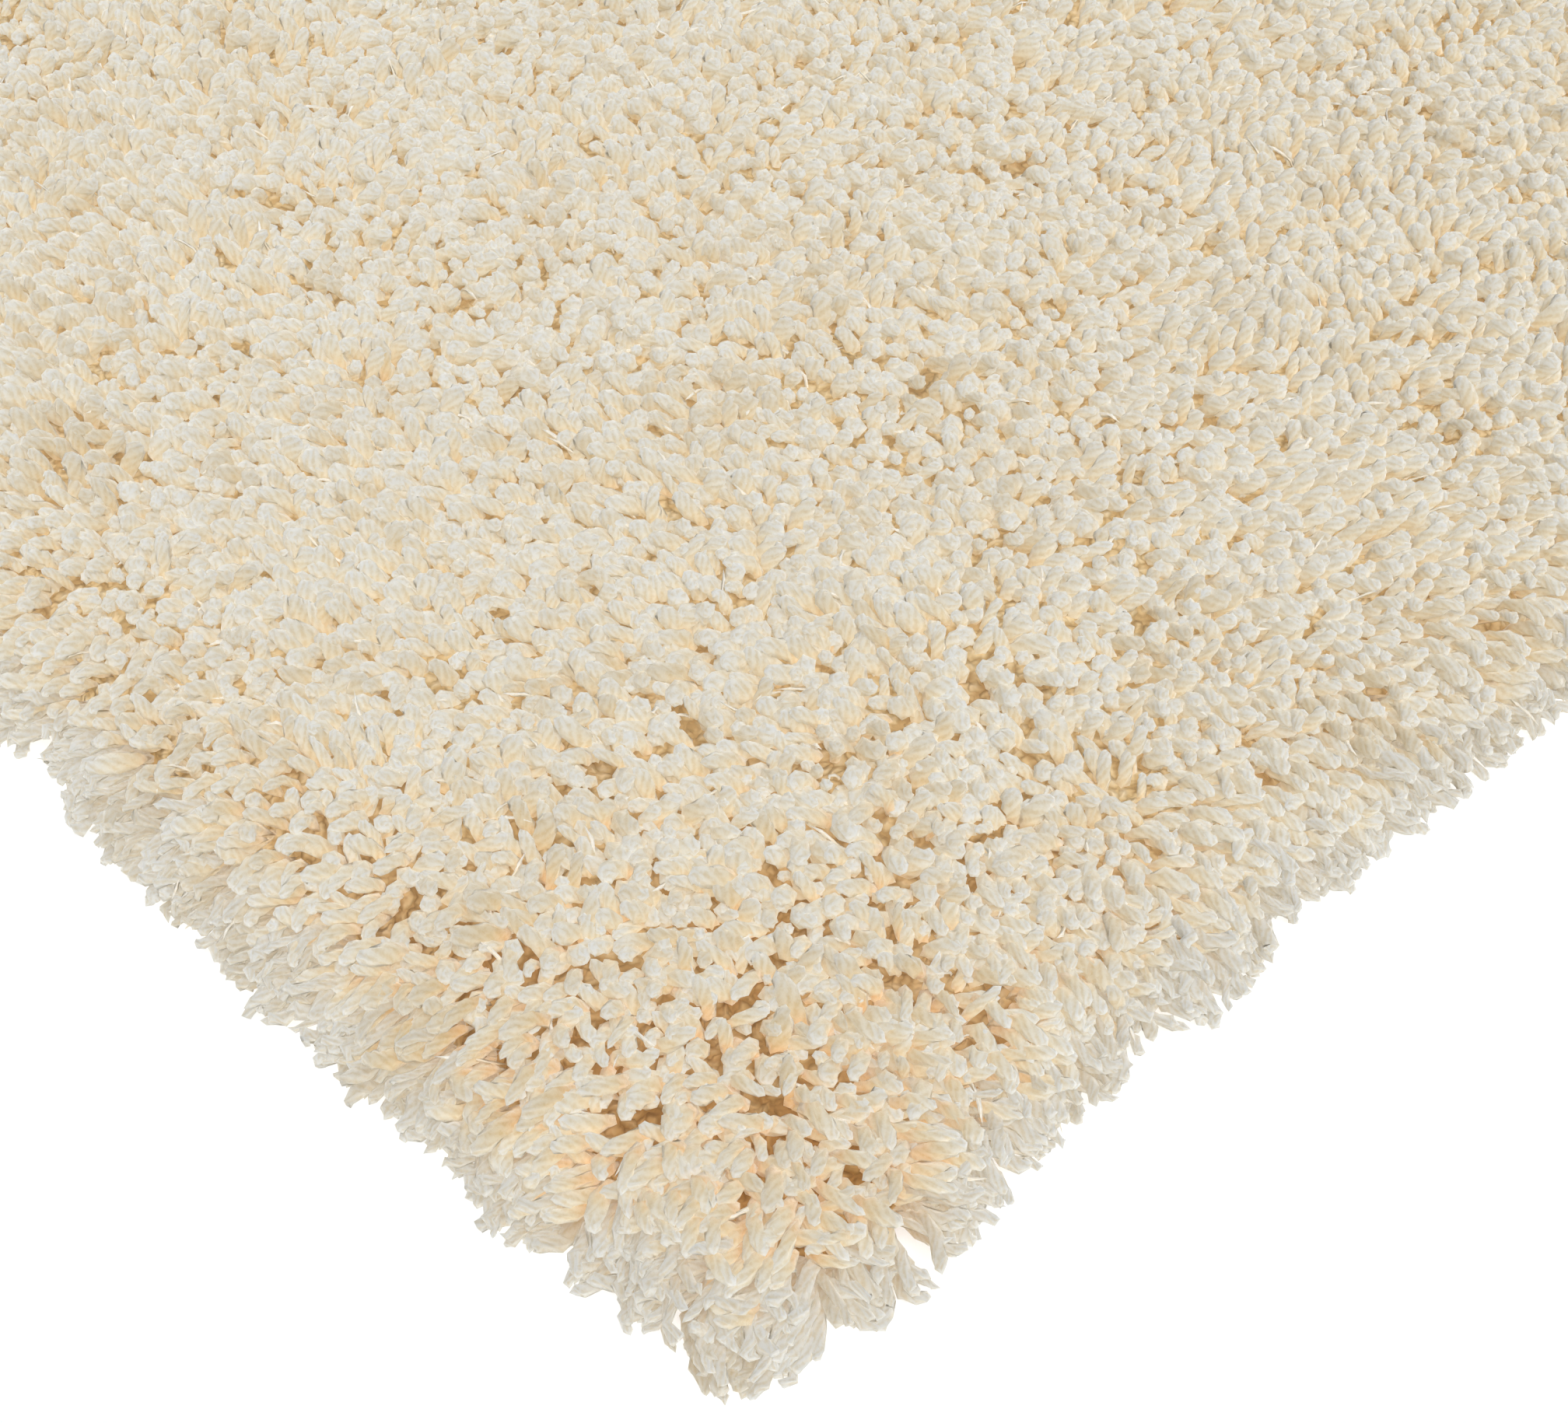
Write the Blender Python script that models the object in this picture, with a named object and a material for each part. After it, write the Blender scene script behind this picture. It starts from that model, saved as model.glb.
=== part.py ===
"""Shag rug: one cut length of cream shag, a lumpy slab of pile with locks spilling from its rim.

Metres, +Z up. The rug lies on the floor, z = 0, with its middle over the origin.
Its sides are named right (+X), back (+Y), left (-X) and front (-Y).
The pile, the backing and the locks are one sewn-through thing, so they are one closed solid.
"""
from collections import namedtuple
import math
import random

import bmesh
import bpy
from mathutils import Vector, noise

# ---- overall sizes ----
RUG_SIDE = 1.000          # from lock tip to lock tip, both ways
PILE_HEIGHT = 0.046       # floor to the mean of the pile's tips
LOCK_REACH = 0.027        # how far a rim lock lies out past the slab
FLOOR_GAP = 0.0003        # what the locks clear the floor by
CORE_HALF = RUG_SIDE / 2 - LOCK_REACH

# ---- the slab's rows of points, measured in from its edge ----
EDGE_ROWS = (0.0, 0.012, 0.026, 0.042)
CORNER_RADIUS = EDGE_ROWS[2]
MIDDLE_CELLS = 30
LOCK_ROOT_WIDTH = 0.020   # an edge longer than this at the rim is split into two roots

# ---- the slab's flank ----
RIM_TOP = 0.030           # where the locks' roots end above
RIM_FOOT = 0.006          # and below
RIM_UNEVEN = 0.004        # how far the roots' upper line wavers
SHOULDER_WIDTH = 0.040    # how far in the pile has rounded up to its full height

# ---- lumps of the pile ----
TUFT_SPACING = 0.013
TUFT_HEIGHT = 0.0020
CLUMP_SPACING = 0.060
CLUMP_HEIGHT = 0.0048
SWELL_SPACING = 0.26
SWELL_HEIGHT = 0.0030

# The hollows and partings that show from a step away: where, how long and wide, the heading of the
# long way in degrees from +X, and how deep.
Hollow = namedtuple("Hollow", "x y length width heading depth")
HOLLOWS = (
    Hollow(0.376, -0.406, 0.060, 0.030, -60, 0.014),
    Hollow(0.386, -0.432, 0.045, 0.026, 10, 0.012),
    Hollow(0.434, -0.447, 0.040, 0.026, -80, 0.012),
    Hollow(0.352, -0.442, 0.035, 0.026, 30, 0.007),
    Hollow(0.277, -0.449, 0.050, 0.030, 70, 0.007),
    Hollow(0.254, -0.395, 0.050, 0.030, 20, 0.008),
    Hollow(0.235, -0.442, 0.040, 0.026, 60, 0.006),
    Hollow(0.424, -0.314, 0.045, 0.028, -10, 0.008),
    Hollow(0.424, -0.368, 0.070, 0.028, 80, 0.008),
    Hollow(0.361, -0.289, 0.060, 0.030, 40, 0.007),
    Hollow(0.417, -0.243, 0.060, 0.030, 60, 0.008),
    Hollow(0.436, -0.195, 0.050, 0.028, 0, 0.009),
    Hollow(0.416, -0.135, 0.070, 0.034, 70, 0.009),
    Hollow(0.424, -0.065, 0.090, 0.034, 85, 0.010),
    Hollow(0.314, -0.204, 0.060, 0.034, 35, 0.006),
    Hollow(0.276, -0.296, 0.070, 0.034, 50, 0.007),
    Hollow(0.213, -0.273, 0.050, 0.034, 15, 0.006),
    Hollow(0.080, -0.256, 0.120, 0.034, 45, 0.006),
    Hollow(-0.035, -0.405, 0.060, 0.034, 80, 0.009),
    Hollow(0.173, -0.006, 0.070, 0.040, 60, 0.007),
    Hollow(0.193, 0.180, 0.060, 0.040, 30, 0.006),
    Hollow(0.255, 0.113, 0.060, 0.040, 70, 0.006),
    Hollow(0.200, 0.339, 0.070, 0.040, 20, 0.007),
    Hollow(-0.238, -0.113, 0.110, 0.040, 40, 0.006),
    Hollow(-0.113, 0.165, 0.090, 0.040, 65, 0.006),
    Hollow(-0.330, 0.280, 0.080, 0.040, 10, 0.007),
    Hollow(-0.060, 0.400, 0.070, 0.034, 80, 0.007),
    Hollow(-0.410, 0.050, 0.080, 0.034, 85, 0.007),
)

# Where the rim bulges: the side, the place along it, the half-length of the bulge, and its share of
# BULGE, the most that the rim wanders in and out. Each side has one full bulge, which sets the
# rug's overall size.
Bulge = namedtuple("Bulge", "side place spread size")
BULGE = 0.012
BULGES = (
    Bulge("front", 0.350, 0.190, 1.0),
    Bulge("front", -0.230, 0.150, 0.8),
    Bulge("right", -0.430, 0.110, 0.8),
    Bulge("right", -0.200, 0.110, 0.7),
    Bulge("right", -0.010, 0.110, 1.0),
    Bulge("right", 0.260, 0.140, 0.7),
    Bulge("back", 0.130, 0.150, 1.0),
    Bulge("back", -0.300, 0.120, 0.7),
    Bulge("left", -0.180, 0.130, 1.0),
    Bulge("left", 0.260, 0.110, 0.8),
)

# Where the locks part and leave a notch in the rim.
Notch = namedtuple("Notch", "x y radius")
NOTCHES = (
    Notch(0.445, -0.474, 0.007),
    Notch(0.384, -0.474, 0.009),
    Notch(0.060, -0.470, 0.012),
    Notch(-0.170, -0.470, 0.010),
    Notch(0.471, -0.446, 0.007),
    Notch(0.470, -0.164, 0.012),
    Notch(0.480, 0.140, 0.010),
    Notch(0.230, 0.480, 0.011),
    Notch(-0.190, 0.480, 0.012),
    Notch(-0.480, 0.330, 0.010),
    Notch(-0.480, -0.060, 0.012),
)
NOTCH_SHARE = 0.45        # of its reach that a lock keeps in a notch

# A lock's sections from root to tip: the share of the reach, the shares of the root's half-width and
# of the lean, the height of the section's middle, and half its height.
Section = namedtuple("Section", "reach width lean middle half_height")
LOCK_SECTIONS = (
    Section(0.36, 0.80, 0.15, 0.0175, 0.0090),
    Section(0.76, 0.66, 0.55, 0.0062, 0.0062),
    Section(1.00, 0.38, 1.00, 0.0028, 0.0028),
)
LOCK_LEAN = 0.0042        # sideways, at the tip
LOCK_SHORTEST = 0.72      # of the full reach
CORNER_SPREAD = 0.7       # how much fatter the long locks of a corner are, as a power of their length
LEAN_SPACING = 0.034
LOCK_NUMBER = "lock"      # the face layer that tells the locks apart
SEED = 11

CREAM = (0.78, 0.68, 0.52, 1.0)
SHARP_DEGREES = 50


def clear_scene():
    """Take every object out of the file."""
    for old in list(bpy.data.objects):
        bpy.data.objects.remove(old, do_unlink=True)


def pile_material():
    """Matte cream yarn."""
    material = bpy.data.materials.new("cream_pile")
    material.use_nodes = True
    shader = material.node_tree.nodes["Principled BSDF"]
    shader.inputs["Base Color"].default_value = CREAM
    shader.inputs["Roughness"].default_value = 0.95
    shader.inputs["Metallic"].default_value = 0.0
    shader.inputs["Sheen Weight"].default_value = 0.4
    return material


def row_place(index, rows):
    """The place across the slab of one row of its grid, close together near the edges."""
    inset = min(index, rows - index)
    if inset < len(EDGE_ROWS):
        place = CORE_HALF - EDGE_ROWS[inset]
    else:
        first = CORE_HALF - EDGE_ROWS[-1]
        place = first - (inset - len(EDGE_ROWS) + 1) * 2 * first / MIDDLE_CELLS
    return -place if index < rows - index else place


def round_corner(x, y):
    """Bend the square's corner regions into quarter discs; the rest stays."""
    start = CORE_HALF - CORNER_RADIUS
    u = (abs(x) - start) / CORNER_RADIUS
    v = (abs(y) - start) / CORNER_RADIUS
    if u <= 0 or v <= 0:
        return x, y
    out_x = start + CORNER_RADIUS * u * math.sqrt(1 - v * v / 2)
    out_y = start + CORNER_RADIUS * v * math.sqrt(1 - u * u / 2)
    return math.copysign(out_x, x), math.copysign(out_y, y)


def drawn_in(side, place):
    """How far a side of the rug lies in from its widest, at a place along it."""
    bulges = [row for row in BULGES if row.side == side]
    swell = max(row.size * math.exp(-((place - row.place) / row.spread) ** 2) for row in bulges)
    return BULGE * (1 - swell)


def sway(x, y):
    """Let the outline wander in and out as the bulges say."""
    side_x = "right" if x > 0 else "left"
    side_y = "back" if y > 0 else "front"
    narrowed = x * (1 - drawn_in(side_x, y) / CORE_HALF)
    shortened = y * (1 - drawn_in(side_y, x) / CORE_HALF)
    return narrowed, shortened


def edge_distance(x, y):
    """How far a point lies inside the slab's rounded square, before it sways."""
    start = CORE_HALF - CORNER_RADIUS
    past_x = abs(x) - start
    past_y = abs(y) - start
    if past_x > 0 and past_y > 0:
        return CORNER_RADIUS - math.hypot(past_x, past_y)
    return CORE_HALF - max(abs(x), abs(y))


def hollow_depth(x, y):
    """How far the hollows sink the pile at a point."""
    depth = 0.0
    for row in HOLLOWS:
        turn = math.radians(row.heading)
        along = (x - row.x) * math.cos(turn) + (y - row.y) * math.sin(turn)
        across = (y - row.y) * math.cos(turn) - (x - row.x) * math.sin(turn)
        reach = (2 * along / row.length) ** 2 + (2 * across / row.width) ** 2
        depth = max(depth, row.depth * math.exp(-reach))
    return depth


def lumps(x, y):
    """The pile's clumps and slow swells, about zero on the whole."""
    tuft = noise.cell(Vector((x / TUFT_SPACING, y / TUFT_SPACING, 1.5)))
    fine = noise.noise(Vector((x / CLUMP_SPACING, y / CLUMP_SPACING, 2.3)))
    broad = noise.noise(Vector((x / SWELL_SPACING, y / SWELL_SPACING, 7.9)))
    return TUFT_HEIGHT * tuft + CLUMP_HEIGHT * 2 * fine + SWELL_HEIGHT * 2 * broad


def pile_top(x, y, inset):
    """The height of the slab's top, inset metres in from its edge."""
    share = min(1.0, max(0.0, inset / SHOULDER_WIDTH))
    crown = math.sqrt(1 - (1 - share) ** 2)
    rim = RIM_TOP + RIM_UNEVEN * noise.cell(Vector((x / TUFT_SPACING, y / TUFT_SPACING, 5.5)))
    full = PILE_HEIGHT + lumps(x, y) - hollow_depth(x, y)
    return rim + (full - rim) * crown


def rim_edges(bm):
    """The edges with a single face, which run round the open slab."""
    return [edge for edge in bm.edges if edge.is_boundary]


def lay_top(bm, rows):
    """Give each point of the flat grid its place and height."""
    for edge in rim_edges(bm):
        edge.tag = True
    for vertex in bm.verts:
        column = round((vertex.co.x + 0.5) * rows)
        row = round((vertex.co.y + 0.5) * rows)
        vertex.co.x = row_place(column, rows)
        vertex.co.y = row_place(row, rows)
    wide = [edge for edge in bm.edges if edge.tag and edge.calc_length() > LOCK_ROOT_WIDTH]
    bmesh.ops.subdivide_edges(bm, edges=wide, cuts=1)
    for vertex in bm.verts:
        x, y = round_corner(vertex.co.x, vertex.co.y)
        inset = edge_distance(x, y)
        x, y = sway(x, y)
        vertex.co = (x, y, pile_top(x, y, inset))


def drop_wall(bm, height):
    """Extrude the open rim straight down to a height, and return the new faces."""
    made = bmesh.ops.extrude_edge_only(bm, edges=rim_edges(bm))["geom"]
    for item in made:
        if isinstance(item, bmesh.types.BMVert):
            item.co.z = height
    return [item for item in made if isinstance(item, bmesh.types.BMFace)]


def in_notch(x, y):
    """Whether a lock's root lies where the locks part."""
    return any(math.hypot(x - row.x, y - row.y) < row.radius + LOCK_ROOT_WIDTH / 2 for row in NOTCHES)


def lock_plan(face, draw):
    """Work out one lock from the wall face that it grows from: its root, heading, width and reach."""
    middle = face.calc_center_median()
    lower = [vertex.co for vertex in face.verts if vertex.co.z < middle.z]
    along = (lower[1] - lower[0]).normalized()
    outward = Vector((along.y, -along.x, 0.0))
    if outward.dot(middle) < 0:
        outward.negate()
    to_square = 1 / max(abs(outward.x), abs(outward.y))
    waver = noise.noise(Vector((middle.x / LEAN_SPACING, middle.y / LEAN_SPACING, 4.1)))
    short = LOCK_SHORTEST + (1 - LOCK_SHORTEST) * draw.random()
    full_reach = LOCK_REACH * to_square
    root_half_width = (lower[1] - lower[0]).length / 2
    plan = {
        "root": Vector((middle.x, middle.y, 0.0)),
        "outward": outward,
        "along": outward.cross(Vector((0, 0, 1))),
        "half_width": root_half_width * to_square ** CORNER_SPREAD * draw.uniform(0.82, 1.0),
        "lean": LOCK_LEAN * max(-1.0, min(1.0, 1.6 * waver + 0.3 * draw.uniform(-1, 1))),
        "reach": full_reach * short,
        "rise": draw.uniform(-0.0015, 0.0020),
    }
    if in_notch(middle.x, middle.y):
        plan["reach"] = full_reach * NOTCH_SHARE
    return plan


def widest_locks(plans):
    """The lock nearest to each side's full bulge, which reaches the rug's overall size."""
    chosen = []
    for side, axis, sign in (("right", 0, 1), ("left", 0, -1), ("back", 1, 1), ("front", 1, -1)):
        bulge = max((row for row in BULGES if row.side == side), key=lambda row: row.size)
        rows = [plan for plan in plans if plan["outward"][axis] * sign > 0.9]
        chosen.append(min(rows, key=lambda plan: abs(plan["root"][1 - axis] - bulge.place)))
    return chosen


def reach_overall_size(plans):
    """Stretch one lock a side, level and straight, out to the rug's overall size."""
    for plan in widest_locks(plans):
        axis = 0 if abs(plan["outward"].x) > abs(plan["outward"].y) else 1
        sign = math.copysign(1, plan["outward"][axis])
        outward = Vector((0, 0, 0))
        outward[axis] = sign
        plan["outward"] = outward
        plan["along"] = outward.cross(Vector((0, 0, 1)))
        plan["lean"] = 0.0
        plan["reach"] = RUG_SIDE / 2 - abs(plan["root"][axis])


def place_section(face, plan, section):
    """Move a lock's newest face to one of its sections, upright and square to its heading."""
    middle = plan["root"] + plan["outward"] * plan["reach"] * section.reach
    middle += plan["along"] * plan["lean"] * section.lean
    rise = plan["rise"] if section is LOCK_SECTIONS[0] else 0.0
    middle.z = FLOOR_GAP + section.middle + rise
    centre = face.calc_center_median()
    for vertex in face.verts:
        across = (vertex.co - centre).dot(plan["along"])
        width = math.copysign(plan["half_width"] * section.width, across)
        height = math.copysign(section.half_height, vertex.co.z - centre.z)
        vertex.co = middle + plan["along"] * width + Vector((0, 0, height))


def grow_locks(bm, roots):
    """Draw each face of the rim out into a tapered lock that ends level on the floor."""
    draw = random.Random(SEED)
    plans = [lock_plan(face, draw) for face in roots]
    reach_overall_size(plans)
    number = bm.faces.layers.int[LOCK_NUMBER]
    for index, face in enumerate(roots):
        face[number] = index
    faces = roots
    for section in LOCK_SECTIONS:
        faces = bmesh.ops.extrude_discrete_faces(bm, faces=faces)["faces"]
        for face in faces:
            place_section(face, plans[face[number]], section)


def close_underside(bm):
    """Close the slab with one flat face on the floor."""
    bmesh.ops.contextual_create(bm, geom=rim_edges(bm))
    bmesh.ops.recalc_face_normals(bm, faces=bm.faces)


def build_rug(collection):
    """Build the slab with its locks as one object."""
    rows = MIDDLE_CELLS + 2 * (len(EDGE_ROWS) - 1)
    bpy.ops.mesh.primitive_grid_add(x_subdivisions=rows, y_subdivisions=rows, size=1)
    rug = bpy.context.object
    rug.name = "shag_rug"
    for home in list(rug.users_collection):
        home.objects.unlink(rug)
    collection.objects.link(rug)
    bm = bmesh.new()
    bm.from_mesh(rug.data)
    bm.faces.layers.int.new(LOCK_NUMBER)
    lay_top(bm, rows)
    roots = drop_wall(bm, RIM_FOOT)
    drop_wall(bm, 0.0)
    close_underside(bm)
    grow_locks(bm, roots)
    bm.to_mesh(rug.data)
    bm.free()
    rug.data.materials.append(pile_material())
    rug.data.shade_smooth()
    rug.data.set_sharp_from_angle(angle=math.radians(SHARP_DEGREES))


def main():
    """Model the rug in a collection of its own."""
    clear_scene()
    collection = bpy.data.collections.new("shag_rug")
    bpy.context.scene.collection.children.link(collection)
    build_rug(collection)


main()
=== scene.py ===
"""Shag rug: the looks. Every yarn end of the cream pile is a tube of its own, on the solid's form.

The pile follows the frame: its tips end on the top of the solid, and its rim on the solid's outline.
Metres and radians, with degrees in the tables. The corner at +X, -Y is the one nearest the camera.
"""

from collections import namedtuple
import math

import bpy
import numpy as np
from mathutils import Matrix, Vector
from mathutils.bvhtree import BVHTree
from mathutils.kdtree import KDTree


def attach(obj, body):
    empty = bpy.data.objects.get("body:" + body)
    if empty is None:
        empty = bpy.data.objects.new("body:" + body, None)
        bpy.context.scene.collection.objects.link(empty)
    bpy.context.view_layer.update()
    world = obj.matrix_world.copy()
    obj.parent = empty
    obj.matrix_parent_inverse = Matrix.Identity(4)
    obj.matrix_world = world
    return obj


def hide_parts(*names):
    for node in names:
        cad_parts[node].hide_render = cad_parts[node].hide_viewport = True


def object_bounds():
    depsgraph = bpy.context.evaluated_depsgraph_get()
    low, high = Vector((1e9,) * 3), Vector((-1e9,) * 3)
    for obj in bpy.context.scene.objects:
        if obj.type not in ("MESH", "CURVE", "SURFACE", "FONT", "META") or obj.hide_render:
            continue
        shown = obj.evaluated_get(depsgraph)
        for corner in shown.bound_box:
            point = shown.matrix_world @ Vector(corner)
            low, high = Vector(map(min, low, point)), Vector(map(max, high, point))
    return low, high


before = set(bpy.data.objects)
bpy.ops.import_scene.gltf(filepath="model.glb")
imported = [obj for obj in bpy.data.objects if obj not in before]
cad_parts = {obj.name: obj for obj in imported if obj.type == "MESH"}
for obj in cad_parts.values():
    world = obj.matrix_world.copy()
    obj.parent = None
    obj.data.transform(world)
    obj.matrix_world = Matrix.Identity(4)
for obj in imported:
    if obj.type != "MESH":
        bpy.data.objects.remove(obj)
cad_low, cad_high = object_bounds()
rng = np.random.default_rng(20417)

# ---- the view, as in the photograph ----
PHOTO_WIDTH = 2016      # pixels
FOCAL_PIXELS = 3600
SENSOR = 36.0           # millimetres
CAMERA_HEIGHT = 0.912
CAMERA_DOWN = math.radians(47.0)
CAMERA_TURN = math.radians(43.8)
CAMERA_FOOT = (0.837, -0.846)

# ---- the light: a soft key, fills without shadow, and warm light from below ----
Lamp = namedtuple("Lamp", "name heading rise softness strength shadow colour")
LAMPS = (
    Lamp("key", -25, 60, 34, 0.86, True, (0.91, 0.985, 1.10)),
    Lamp("fill_top", -46, 75, 20, 0.55, False, (0.97, 1.0, 1.06)),
    Lamp("fill_right", 14, 40, 20, 0.76, False, (0.98, 1.0, 1.0)),
    Lamp("fill_left", -106, 40, 20, 0.46, False, (0.98, 1.0, 1.0)),
    Lamp("fill_front", -46, 30, 20, 0.62, False, (0.98, 1.0, 1.0)),
    Lamp("fill_back", 134, 30, 20, 0.88, False, (1.0, 1.0, 0.98)),
    Lamp("bounce_front", -46, -10, 20, 0.75, False, (1.0, 0.90, 0.66)),
    Lamp("bounce_back", 134, -10, 20, 0.70, False, (1.0, 0.90, 0.66)),
)
SKY_COLOUR = (1.0, 0.99, 0.97)
SKY_STRENGTH = 0.20
FLOOR_COLOUR = (0.955, 0.96, 0.965)
FLOOR_HALF = 60.0       # fills the picture behind the rug, seen from low down
BACKDROP_RADIUS = 58.0
BACKDROP_FOOT = -0.01   # under the floor
BACKDROP_HEIGHT = 40.0
BACKDROP_SIDES = 48

# ---- the frame's form, and how finely it is read ----
HALF = float(cad_high[0])  # the rug's half side, over its locks
ABOVE = 1.0             # where the rays down onto the top start
TOP_CELLS = 170
TOP_BLUR = 2
SHOULDER = 0.070        # nearer a side than this, the top is taken as further in
SIDE_HEIGHT = 0.0045    # where the sides' reach is measured, among the locks
SIDE_COUNT = 240
SIDE_MARGIN = 0.05      # left out at each end of a side
SIDE_WINDOW = 6         # the greatest reach of so many places each way counts
SIDE_BLUR = 20
SIDE_PLACES = np.linspace(-HALF + SIDE_MARGIN, HALF - SIDE_MARGIN, SIDE_COUNT)

# ---- the backing and the packed pile on it ----
BACKING_INSET = 0.037   # from the outline to the backing's edge
BACKING_CORNER = 0.003  # the radius of its corners
BACKING_POINTS = 120
BACKING_LOW = 0.0003
BACKING_HIGH = 0.0019
GROUND_CELLS = 88
GROUND_DEPTH = 0.0090   # from the solid's top down to the packed pile
GROUND_WAVER = 0.0015
GROUND_OUT = 0.010      # how far it stands out past the backing's edge
GROUND_ROUND = 0.050    # over this width it is rounded down to the rim
GROUND_EDGE = 0.004     # its height at the rim
GROUND_FOOT = 0.0022    # its underside
GAP_SHADE_PATCHES = 0.30     # how much its painted shade varies in patches

# ---- random fields over the rug, by the spacing of their lumps ----
NOISE_HALF = HALF * 1.1
NOISE_FINER = 4         # smooth cells to each random cell
NOISE_BLUR = 4
NOISE_GAIN = 1.5        # makes up for the blur
WAVER_SPACING = 0.11
CURL_SPACING = 0.034
RAGGED_SPACING = 0.035

# ---- where the yarns stand ----
YARN_PITCH = 0.0050     # between the places where a yarn may stand
EDGE_PITCH = 0.0040     # the same within EDGE_BAND of the backing's edge
EDGE_BAND = 0.050
CORNER_PITCH = 0.0028   # the same within CORNER_BAND of the backing's corners
CORNER_BAND = 0.045
JITTER = 0.42           # how far the places stray from a grid, in pitches
TIP_SPACING = 0.0071    # the least distance between two yarns' ends
CORNER_CLOSER = 0.04    # how much closer than that they may lie at the near corner
SIDE_CLOSER = 0.12      # the same near the rim on the right
SIDE_BAND = 0.14        # how far in from a rim that goes
SIDE_MIDDLE = 0.3       # of that on the diagonal; on the left they lie further apart
SIDE_SWITCH = 0.10      # how gradually that changes
PATCH_LOOSER = 0.16     # how much the spacing varies in patches
PATCH_FIELD = 0.3       # of that in the field; the near corner adds the whole of it
RIM_BAND = 0.012        # the yarns rooted this near the backing's edge lie on the floor
RIM_SPACING = 0.0043
PRESSED_SPACING = 1.15 * TIP_SPACING
PRESS_PASSES = 6
PRESS_STEP = 0.34       # the share of what is missing that an end moves in a pass
PRESS_RISE = 0.4        # the share of that which is up or down
PRESS_MOST = 0.004      # the longest move in a pass

# ---- the tufts that yarns gather into ----
TUFT_PITCH = 0.0200
TUFT_LEAN = 0.14        # how much they differ in lean, height and, at the rim, reach
TUFT_HEIGHT = 0.0018
TUFT_REACH = 0.05
CORNER_LEAN = 0.9       # how much more so in lean at the near corner
LOCK_BAND = 0.030       # the tufts rooted this near the backing's edge draw into locks
LOCK_PULL = 0.42        # how far their tips come together
LOCK_CORNER = 0.8       # how much less they do so at the corners

# ---- how the yarns lean ----
YARN_LEAN = 0.80        # how far the pile leans where it has been brushed
LAY_SIZE = 0.45         # the strength of a lay that gives three quarters of that
WAVER_LAY = 0.55        # the strength of the lay's slow waver, and of its quick one
CURL_LAY = 0.60
UPRIGHT = 0.1           # the share of the lay in the second set of yarns
PARTING = 0.5           # how much it leans away from the middle of a hollow
PARTING_STEP = 0.006
FAN_WIDTH = 0.055       # the pile leans outward within this of the backing's edge
FAN_LEAN = math.radians(86)  # how far it does so at the edge
FAN_POWER = 1.3
FAN_LAY = 0.25          # the share of the lay left at the edge
MOST_LEAN = math.radians(100)

# ---- how long the yarns are and how they bend ----
YARN_LENGTH = 0.0465    # at the rim, from the backing to the tip
LONGEST = 1.38          # how much longer one may be, to reach the pile's top
LENGTH_SPREAD = 0.03
CORNER_GROWTH = 0.30    # how much longer the yarns at the corners are
CORNER_REACH = 0.035    # how far from them that goes
RIM_RAGGED = 0.10       # how unevenly long the rim's yarns are
ROOT_HEIGHT = 0.002
LOWER_SHARE = 0.55      # the shares of a yarn's length below and above its bend
UPPER_SHARE = 0.50
LOWER_LEAN = 0.55       # how much of the yarn's lean those parts have
UPPER_LEAN = 1.25
FOOT_BAND = 0.014       # the yarns rooted this near the backing's edge bend further
FOOT_LEAN = math.radians(28)  # how much further
LEAST_RISE = 0.2        # the least share of a yarn's length that counts as rise
KNEE_PLACE = 0.42       # where the bend's knee lies, as a share of the length
KNEE_WAVER = 0.0022
OVER_TOP = 0.0035       # how far a tip may stand over the solid's top
OVER_CUT = 0.8          # how much of what stands over that is taken off
NECK = 0.0220           # the length of a yarn's end, which lolls over
NECK_SPREAD = 0.22
NECK_RANGE = (0.6, 1.5)
NECK_CORNER = 0.35      # how much longer it is at the near corner
NECK_MIDDLE = 0.4       # where the ends are kept apart, back from the tip
OVER_ANGLE = 1.10       # how far over it lolls, from the way the pile faces
OVER_SPREAD = 0.22
OVER_RANGE = (0.4, 1.7)
OVER_RIM = 0.55         # the share of that at the backing's edge
OVER_FIELD = 0.45       # the rest, which is reached at OVER_BAND from the edge
OVER_BAND = 0.022
HEADING_SPREAD = 0.10

# ---- the tubes ----
Kind = namedtuple("Kind", "shares swell radius waver")
# shares: where along its bend a yarn's root, rings and tip are; swell: how thick it is at its
# rings, in radii; waver: how far the rings stray from the bend
FIELD = Kind((0.46, 0.64, 0.80, 0.92, 0.976, 1.0), (0.86, 1.02, 1.00, 0.72), 0.0041, 0.0)
RIM_SHARES = (0.12, 0.32, 0.50, 0.66, 0.80, 0.92, 0.976, 1.0)
RIM = Kind(RIM_SHARES, (0.80, 0.94, 1.02, 1.08, 1.08, 0.84), 0.0031, 0.0011)
THREAD = Kind((0.42, 0.55, 0.68, 0.80, 0.91, 1.0), (1.0, 1.0, 1.0, 0.9), 0.0010, 0.0004)
YARN_SIDES = 5
THREAD_SIDES = 3
YARN_FLAT = 0.08        # how much wider and thinner than round the tubes are
PLY_TURN = 0.6          # how far they turn from ring to ring
RADIUS_SPREAD = 0.18    # from yarn to yarn
RADIUS_RANGE = (0.65, 1.28)
RING_SPREAD = 0.06      # from ring to ring
EDGE_FINENESS = 0.80    # the yarns' thickness at the backing's edge, as a share
FINE_BAND = 0.13        # how far in from it they are finer
FLOOR_GAP = 0.0006      # between the yarns and the floor
END_THICKNESS = 0.3     # at the root and the tip, in radii of the next ring
BOX_SPARE = 0.010       # how far the pile may stand out past the box
MAP_MARGIN = 0.08       # inside each tube's cell in the map OFBake
THREAD_PITCH = 0.0265
THREAD_INSET = 0.002    # their roots' least distance from the backing's edge
THREAD_LONGER = 0.005

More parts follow.
